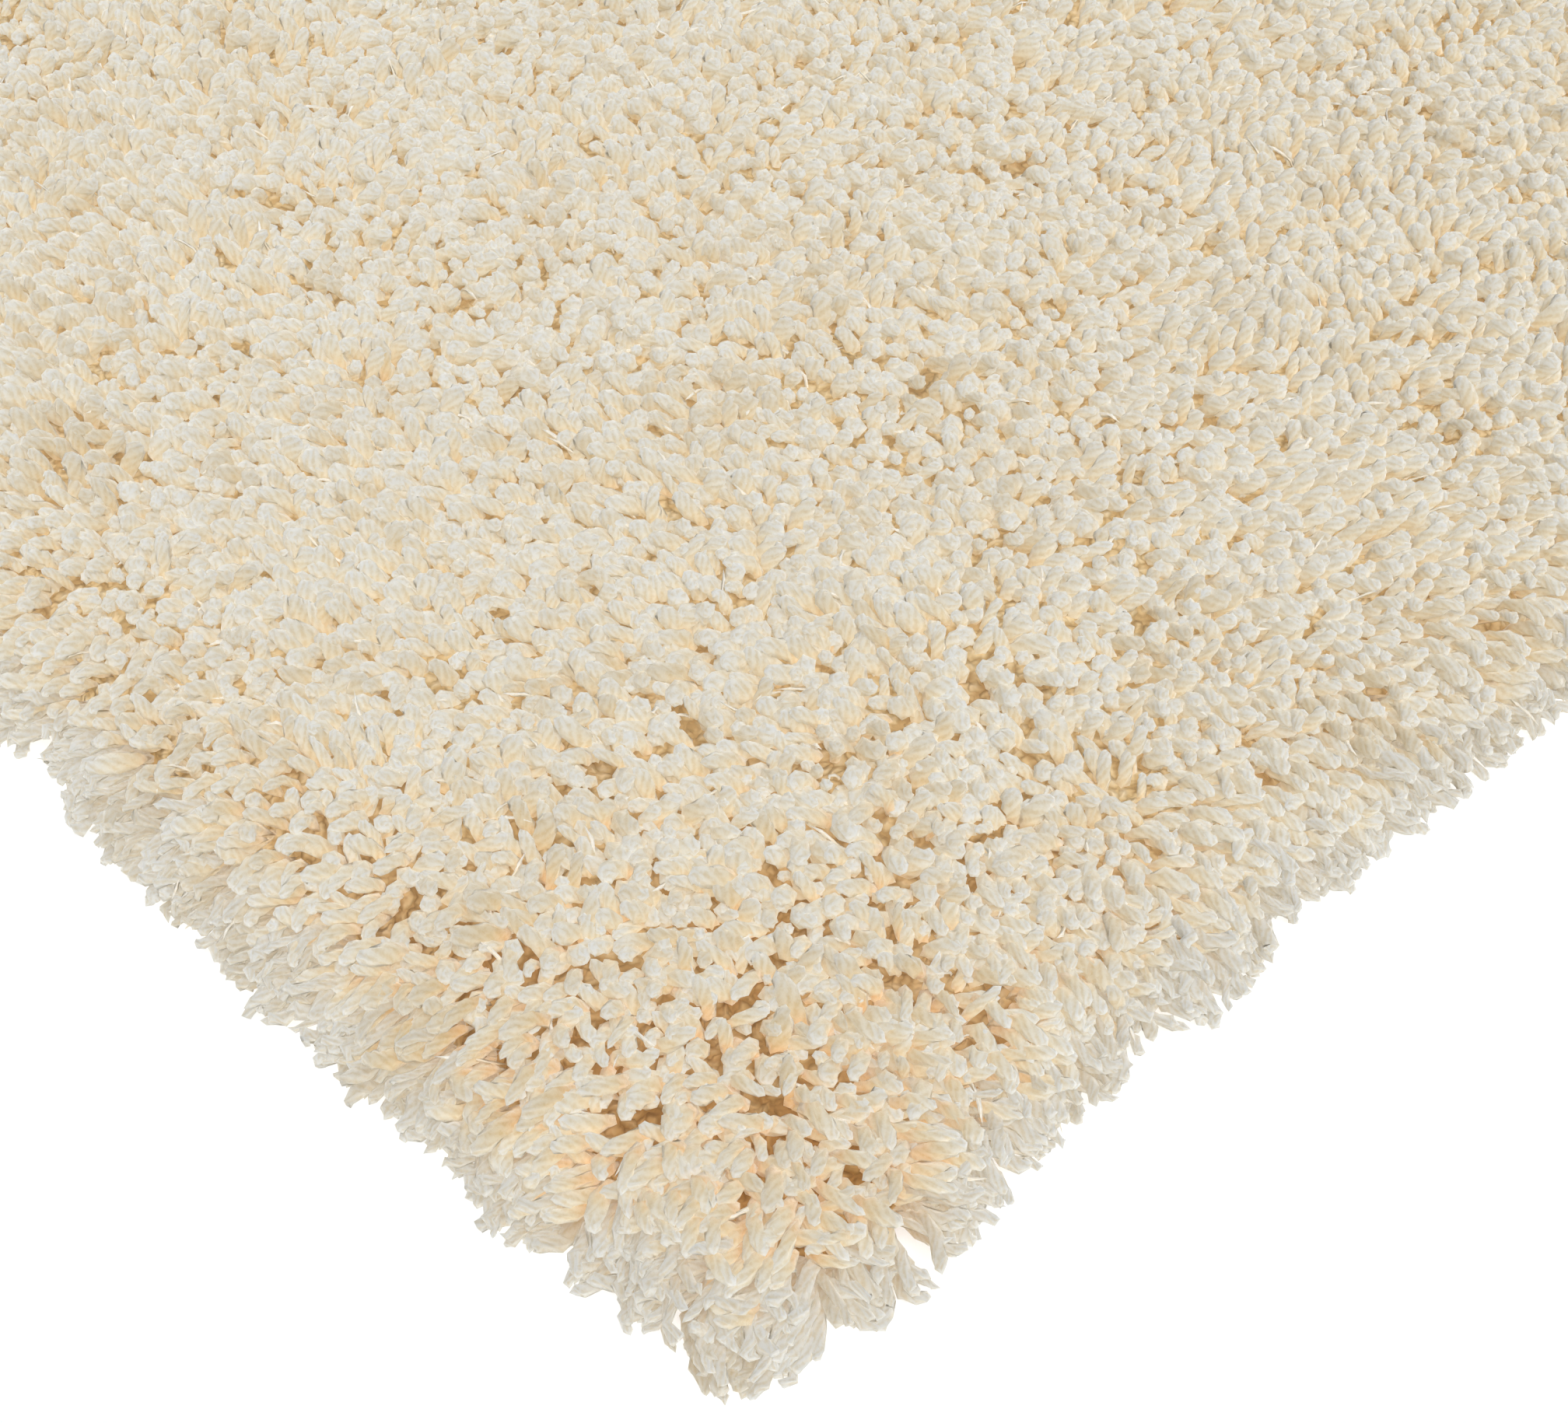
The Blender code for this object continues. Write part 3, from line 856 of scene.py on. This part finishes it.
def tube_object(name, points, radii, shares, tint, corner_shade, sides=YARN_SIDES):
    """Many tubes as one object, with their place along the yarn, moved rootward by painted shade at the
    near corner, their tint and two maps.

    OFBake has a cell for each tube. In the map yarn they all lie alike.
    """
    count, rings = radii.shape
    ring_points = tube_points(points, radii, sides).reshape(count, rings * sides, 3)
    vertices = np.concatenate([points[:, :1], ring_points, points[:, -1:]], 1)
    mesh = joined_tubes(name, vertices, tube_faces(rings, sides))
    own = tube_corners(rings, sides, shares)
    cells = int(math.ceil(math.sqrt(count)))
    cell = np.stack([np.arange(count) % cells, np.arange(count) // cells], 1)
    add_map(mesh, "OFBake", (cell[:, None, :] + MAP_MARGIN + (1 - 2 * MAP_MARGIN) * own) / cells)
    add_map(mesh, "yarn", np.tile(own, (count, 1)))
    along = np.concatenate([[shares[0]], np.repeat(shares[1:-1], sides), [shares[-1]]])
    # the place along is moved toward the root by the painted corner shade
    add_values(mesh, "along", (along - corner_shade[:, None] * (1 - along)).ravel())
    add_values(mesh, "tint", np.repeat(tint, vertices.shape[1]))
    return placed(name, mesh)


# ---- materials ----

def new_material(name, colour, roughness):
    """A material and its shader."""
    material = bpy.data.materials.new(name)
    material.use_nodes = True
    shader = material.node_tree.nodes["Principled BSDF"]
    shader.inputs["Base Color"].default_value = (*colour, 1)
    shader.inputs["Roughness"].default_value = roughness
    return material, shader


def node(material, kind, **values):
    """Add a node, with its inputs and settings by name."""
    made = material.node_tree.nodes.new(kind)
    for key, value in values.items():
        if key in made.inputs:
            made.inputs[key].default_value = value
        else:
            setattr(made, key, value)
    return made


def link(material, source, target):
    """Lead a node's output into an input."""
    material.node_tree.links.new(source, target)


def object_place(material):
    """Places on the object itself."""
    return node(material, "ShaderNodeTexCoord").outputs["Object"]


def point_value(material, name):
    """A number that the mesh keeps for each of its points."""
    return node(material, "ShaderNodeAttribute", attribute_name=name).outputs["Fac"]


def coloured(material, value, stops):
    """A colour that goes from stop to stop as a value rises."""
    ramp = node(material, "ShaderNodeValToRGB")
    elements = ramp.color_ramp.elements
    for index, (place, colour) in enumerate(stops):
        element = elements[index] if index < 2 else elements.new(place)
        element.position = place
        element.color = (*colour, 1)
    link(material, value, ramp.inputs["Fac"])
    return ramp.outputs["Color"]


def multiplied(material, first, second):
    """The product of two colours."""
    mix = node(material, "ShaderNodeMix", data_type="RGBA", blend_type="MULTIPLY")
    mix.inputs["Factor"].default_value = 1.0
    link(material, first, mix.inputs["A"])
    link(material, second, mix.inputs["B"])
    return mix.outputs["Result"]


def arithmetic(material, operation, first, second, third=0.0):
    """A sum or product of values, each a node's output or a number."""
    made = node(material, "ShaderNodeMath", operation=operation)
    for target, value in zip(made.inputs, (first, second, third)):
        if isinstance(value, float):
            target.default_value = value
        else:
            link(material, value, target)
    return made.outputs["Value"]


def raise_surface(material, shader, height, strength, distance):
    """Let a value show as relief."""
    bump = node(material, "ShaderNodeBump", Strength=strength, Distance=distance)
    link(material, height, bump.inputs["Height"])
    link(material, bump.outputs["Normal"], shader.inputs["Normal"])


def yarn_relief(material, look):
    """The relief of a spun yarn: plies that wind round it, with fine fibres over them."""
    place = node(material, "ShaderNodeUVMap", uv_map="yarn")
    wound = node(material, "ShaderNodeMapping")
    wound.inputs["Rotation"].default_value = (0, 0, math.radians(look.twist))
    wound.inputs["Scale"].default_value = (look.plies, look.plies * PLY_STRETCH, 1)
    link(material, place.outputs["UV"], wound.inputs["Vector"])
    wave = node(material, "ShaderNodeTexWave", Scale=1.0, Distortion=1.6, Detail=2.0)
    link(material, wound.outputs["Vector"], wave.inputs["Vector"])
    fibre = node(material, "ShaderNodeTexNoise", Scale=520.0, Detail=3.0, Roughness=0.6)
    link(material, object_place(material), fibre.inputs["Vector"])
    return arithmetic(material, "MULTIPLY_ADD", wave.outputs["Fac"], PLY_SHARE, fibre.outputs["Fac"])


def yarn_material(name, stops, look):
    """Spun yarn, with plies and fibres: painted shade makes it darker and warmer toward the root and in
    its grooves, and its tint varies yarn by yarn, with some painted shade from the pile's lean.
    """
    material, shader = new_material(name, stops[-2][1], look.roughness)
    shader.inputs["Diffuse Roughness"].default_value = 1.0
    shader.inputs["Sheen Weight"].default_value = look.sheen
    shader.inputs["Sheen Roughness"].default_value = 0.5
    shader.inputs["Sheen Tint"].default_value = (*SHEEN_TINT, 1)
    # painted shade along the yarn: darker and warmer toward the root
    colour = coloured(material, point_value(material, "along"), stops)
    # the tint: tone that differs at random, with painted shade from the pile's lean
    tint = coloured(material, point_value(material, "tint"), TINTS)
    relief = yarn_relief(material, look)
    # painted shade in the yarn's grooves
    groove_shade = coloured(material, relief, GROOVE_SHADE)
    # the yarn's own colour with its painted shade: toward the root, in the grooves and in the tint's
    # drift with the lean
    yarn_colour_with_shade = multiplied(material, multiplied(material, colour, tint), groove_shade)
    link(material, yarn_colour_with_shade, shader.inputs["Base Color"])
    raise_surface(material, shader, relief, look.bump, YARN_RELIEF)
    return material


def ground_material():
    """The depths of the pile between the yarns, packed and uneven, painted golden and dark as their
    shade, darkest between the packed ends.
    """
    material, shader = new_material("pile_depths", (0.90, 0.64, 0.34), 0.95)
    place = object_place(material)
    waver = node(material, "ShaderNodeTexNoise", Scale=110.0, Detail=2.0, Roughness=0.5)
    link(material, place, waver.inputs["Vector"])
    moved = node(material, "ShaderNodeMix", data_type="VECTOR")
    moved.inputs["Factor"].default_value = 0.012
    link(material, place, moved.inputs["A"])
    link(material, waver.outputs["Color"], moved.inputs["B"])
    ends = node(material, "ShaderNodeTexVoronoi", Scale=170.0)
    link(material, moved.outputs["Result"], ends.inputs["Vector"])
    # painted shade: darker toward the edges of the packed ends
    packed = coloured(material, ends.outputs["Distance"], GROUND_SHADE_STOPS)
    # painted shade of the gaps, most at the near corner
    shade = coloured(material, point_value(material, "gap_shade"), GAP_SHADE_STOPS)
    link(material, multiplied(material, packed, shade), shader.inputs["Base Color"])
    relief = arithmetic(material, "MULTIPLY", ends.outputs["Distance"], -1.0)
    raise_surface(material, shader, relief, 1.0, GROUND_RELIEF)
    return material


def backing_material():
    """Plain woven backing cloth."""
    material, shader = new_material("backing_weave", (0.62, 0.52, 0.38), 0.9)
    place = object_place(material)
    bands = []
    for heading in ("X", "Y"):
        wave = node(material, "ShaderNodeTexWave", Scale=160.0, Distortion=0.8, Detail=1.0)
        wave.bands_direction = heading
        link(material, place, wave.inputs["Vector"])
        bands.append(wave.outputs["Fac"])
    weave = arithmetic(material, "MULTIPLY", *bands)
    link(material, coloured(material, weave, BACKING_STOPS), shader.inputs["Base Color"])
    raise_surface(material, shader, weave, 0.7, BACKING_RELIEF)
    return material


# ---- the pile ----

def yarn_tint_and_shade(stand):
    """A tint for each yarn, mostly shared within a tuft, with painted shade that drifts over the rug
    with the pile's lean.
    """
    x, y = stand.x, stand.y
    # painted shade: lighter and darker with two of the fields that set the pile's lean
    lean_shade = LEAN_SHADE_WAVER * WAVER_X.at(x, y) + LEAN_SHADE_CURL * CURL_Y.at(x, y)
    tint = TINT_MEAN + TINT_TUFT * TUFTS.tint[stand.tuft] + rng.normal(0, TINT_YARN, len(x))
    return np.clip(np.clip(tint, 0, 1) + lean_shade, 0, 1)


def swollen(count, kind):
    """Each yarn's radius at its rings."""
    own = np.clip(rng.normal(1, RADIUS_SPREAD, (count, 1)), *RADIUS_RANGE)
    uneven = rng.normal(1, RING_SPREAD, (count, len(kind.swell)))
    return kind.radius * own * uneven * np.array(kind.swell)


def yarn_piece(name, way, stand, tint, kind):
    """One piece of the pile: its yarns as tubes, which are finer toward the rim."""
    points = bent(way, kind.shares)
    if kind.waver:
        points[:, 1:-1] += rng.normal(0, kind.waver, points[:, 1:-1].shape)
    fine = EDGE_FINENESS + (1 - EDGE_FINENESS) * smooth_step(stand.inset / FINE_BAND)
    radii = swollen(len(points), kind) * fine[:, None]
    points = keep_inside(keep_above_floor(points, radii))
    # painted shade: near the near corner the dark root colour reaches further up
    corner_shade = CORNER_SHADE * near_corner(stand.x, stand.y)
    return tube_object(name, points, radii, kind.shares, tint, corner_shade)


def make_pile():
    """All the yarns, quarter by quarter: the field in two pieces and the rim in one."""
    x, y = yarn_roots()
    brushed = np.repeat([1.0, UPRIGHT], len(x))
    stand = stands(np.tile(x, 2), np.tile(y, 2))
    stand, way = spaced(stand, yarn_ways(stand, YARN_LENGTH, brushed, wild=0.13, loll=1.05))
    way = bends(*way)
    tint = yarn_tint_and_shade(stand)
    right, back = stand.x > 0, stand.y > 0
    rim = stand.inset < RIM_BAND
    wide = np.abs(stand.x) > np.abs(stand.y)
    quarters = {
        "front_right": right & ~back,
        "front_left": ~right & ~back,
        "back_right": right & back,
        "back_left": ~right & back,
    }
    made = []
    for label, quarter in quarters.items():
        for part, pick, kind in (
            ("pile_x", quarter & ~rim & wide, FIELD),
            ("pile_y", quarter & ~rim & ~wide, FIELD),
            ("rim", quarter & rim, RIM),
        ):
            name = f"{part}_{label}"
            made.append(yarn_piece(name, way[:, pick], picked(stand, pick), tint[pick], kind))
    return made


def make_threads():
    """The thin glossy threads that lie among the yarns."""
    x, y = scattered(THREAD_PITCH, jitter=0.5)
    keep = OUTLINE.inset(x, y) > THREAD_INSET
    stand = stands(x[keep], y[keep])
    way = bends(*yarn_ways(stand, YARN_LENGTH + THREAD_LONGER, 1.0, wild=0.25, loll=0.4))
    points = bent(way, THREAD.shares)
    points[:, 1:] += rng.normal(0, THREAD.waver, points[:, 1:].shape)
    radii = swollen(len(points), THREAD)
    points = keep_inside(keep_above_floor(points, radii))
    tint = np.clip(rng.normal(*THREAD_TINT, len(points)), 0, 1)
    corner_shade = np.zeros(len(points))
    return tube_object("threads", points, radii, THREAD.shares, tint, corner_shade, THREAD_SIDES)


def painted_gap_shade(x, y):
    """How much painted shade the gaps get, from 0 to 1: most at the near corner, and in patches."""
    return np.clip(near_corner(x, y) + GAP_SHADE_PATCHES * RAGGED.at(x, y), 0, 1)


def ground_height(x, y):
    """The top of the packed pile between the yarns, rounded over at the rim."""
    inset = np.maximum(OUTLINE.inset(x, y) + GROUND_OUT, 0)
    full = TOP.at(x, y) - GROUND_DEPTH + GROUND_WAVER * RAGGED.at(x, y)
    rounded = np.sqrt(1 - (1 - np.clip(inset / GROUND_ROUND, 0, 1)) ** 2)
    return GROUND_EDGE + (full - GROUND_EDGE) * rounded


def backing_place(u, v, out=0.0):
    """Places on the backing, from -1 to 1 across it each way, with its edge moved out."""
    return u * (OUTLINE.half(0, u, v * HALF) + out), v * (OUTLINE.half(1, v, u * HALF) + out)


def make_ground():
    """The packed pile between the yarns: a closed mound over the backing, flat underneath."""
    line = np.linspace(-1, 1, GROUND_CELLS + 1)
    u, v = np.meshgrid(line, line, indexing="ij")
    x, y = backing_place(u.ravel(), v.ravel(), GROUND_OUT)
    index = np.arange(len(x)).reshape(u.shape)
    corners = (index[:-1, :-1], index[1:, :-1], index[1:, 1:], index[:-1, 1:])
    top = np.stack(corners, -1).reshape(-1, 4)
    rim = np.concatenate([index[:-1, 0], index[-1, :-1], index[:0:-1, -1], index[0, :0:-1]])
    below = len(x) + np.arange(len(rim))
    walls = np.column_stack([rim, below, np.roll(below, -1), np.roll(rim, -1)])
    points = np.stack([x, y, ground_height(x, y)], 1)
    foot = points[rim]
    foot[:, 2] = GROUND_FOOT
    vertices = np.concatenate([points, foot])
    faces = [*top.tolist(), *walls.tolist(), below[::-1].tolist()]
    ground = faced("pile_ground", vertices.tolist(), faces, ground_material())
    ground.data.shade_smooth()
    add_values(ground.data, "gap_shade", painted_gap_shade(vertices[:, 0], vertices[:, 1]))
    return ground


def make_backing():
    """The woven backing, a flat sheet that shows only from below, and its size."""
    count = BACKING_POINTS
    place = np.arange(count) / count * 4
    side = place.astype(int)
    part = (place - side) * 2 - 1
    u = np.choose(side, [part, 1, -part, -1])
    v = np.choose(side, [-1, part, 1, -part])
    x, y = backing_place(u, v)
    low = [(a, b, BACKING_LOW) for a, b in zip(x, y)]
    high = [(a, b, BACKING_HIGH) for a, b in zip(x, y)]
    faces = [tuple(range(count, 2 * count)), tuple(range(count - 1, -1, -1)), *wall(count)]
    backing = faced("backing", low + high, faces, backing_material())
    return backing, (float(np.ptp(x)), float(np.ptp(y)))


# ---- the studio ----

def make_floor():
    """A pale floor."""
    corners = [(x * FLOOR_HALF, y * FLOOR_HALF, 0) for x, y in ((-1, -1), (1, -1), (1, 1), (-1, 1))]
    floor = faced("floor", corners, [(0, 1, 2, 3)], new_material("floor", FLOOR_COLOUR, 0.8)[0])


def make_sky():
    """An even, pale sky."""
    world = bpy.data.worlds.new("studio")
    bpy.context.scene.world = world
    world.use_nodes = True
    sky = world.node_tree.nodes["Background"]
    sky.inputs["Color"].default_value = (*SKY_COLOUR, 1)
    sky.inputs["Strength"].default_value = SKY_STRENGTH


def make_lamps():
    """The table's lamps, whose light is even all over."""
    for row in LAMPS:
        light = bpy.data.lights.new(row.name, "SUN")
        light.energy = row.strength
        light.angle = math.radians(row.softness)
        light.use_shadow = row.shadow
        light.color = row.colour
        turn, rise = math.radians(row.heading), math.radians(row.rise)
        flat = math.cos(rise)
        toward = Vector((math.cos(turn) * flat, math.sin(turn) * flat, math.sin(rise)))
        placed(row.name, light).rotation_euler = toward.to_track_quat("Z", "Y").to_euler()


def make_backdrop():
    """A pale surround that is seen behind the rug from low down, but lights nothing."""
    turns = [k * 2 * math.pi / BACKDROP_SIDES for k in range(BACKDROP_SIDES)]
    low = [(BACKDROP_RADIUS * math.cos(t), BACKDROP_RADIUS * math.sin(t), BACKDROP_FOOT) for t in turns]
    high = [(x, y, BACKDROP_HEIGHT) for x, y, _ in low]
    material, shader = new_material("backdrop", (0.0, 0.0, 0.0), 1.0)
    shader.inputs["Emission Color"].default_value = (1.0, 1.0, 1.0, 1)
    shader.inputs["Emission Strength"].default_value = 1.0
    backdrop = faced("backdrop", low + high, wall(BACKDROP_SIDES), material)
    for rays in ("diffuse", "glossy", "transmission", "shadow"):
        setattr(backdrop, f"visible_{rays}", False)


def make_camera():
    """The photograph's viewpoint."""
    camera = bpy.data.cameras.new("camera")
    camera.sensor_fit = "HORIZONTAL"
    camera.sensor_width = SENSOR
    camera.lens = FOCAL_PIXELS / PHOTO_WIDTH * SENSOR
    holder = placed("camera", camera)
    holder.location = (*CAMERA_FOOT, CAMERA_HEIGHT)
    holder.rotation_euler = (math.pi / 2 - CAMERA_DOWN, 0, CAMERA_TURN)
    bpy.context.scene.camera = holder


def main():
    """Make the studio and dress the rug."""
    bpy.context.scene.view_settings.view_transform = "Standard"
    make_camera()
    make_floor()
    make_sky()
    make_lamps()
    make_backdrop()

    pieces = make_pile()
    yarn = yarn_material("cream_yarn", YARN_SHADE_STOPS, YARN_LOOK)
    # a shaded copy of the yarn for the rim: painted shade
    rim_yarn = yarn_material("rim_yarn", RIM_SHADE_STOPS, YARN_LOOK)
    for piece in pieces:
        piece.data.materials.append(rim_yarn if piece.name.startswith("rim") else yarn)
    threads = make_threads()
    threads.data.materials.append(yarn_material("glossy_thread", THREAD_SHADE_STOPS, THREAD_LOOK))
    ground = make_ground()
    backing, cut = make_backing()

    for piece in [*pieces, threads, ground, backing]:
        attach(piece, "root")
    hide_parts("shag_rug")


main()
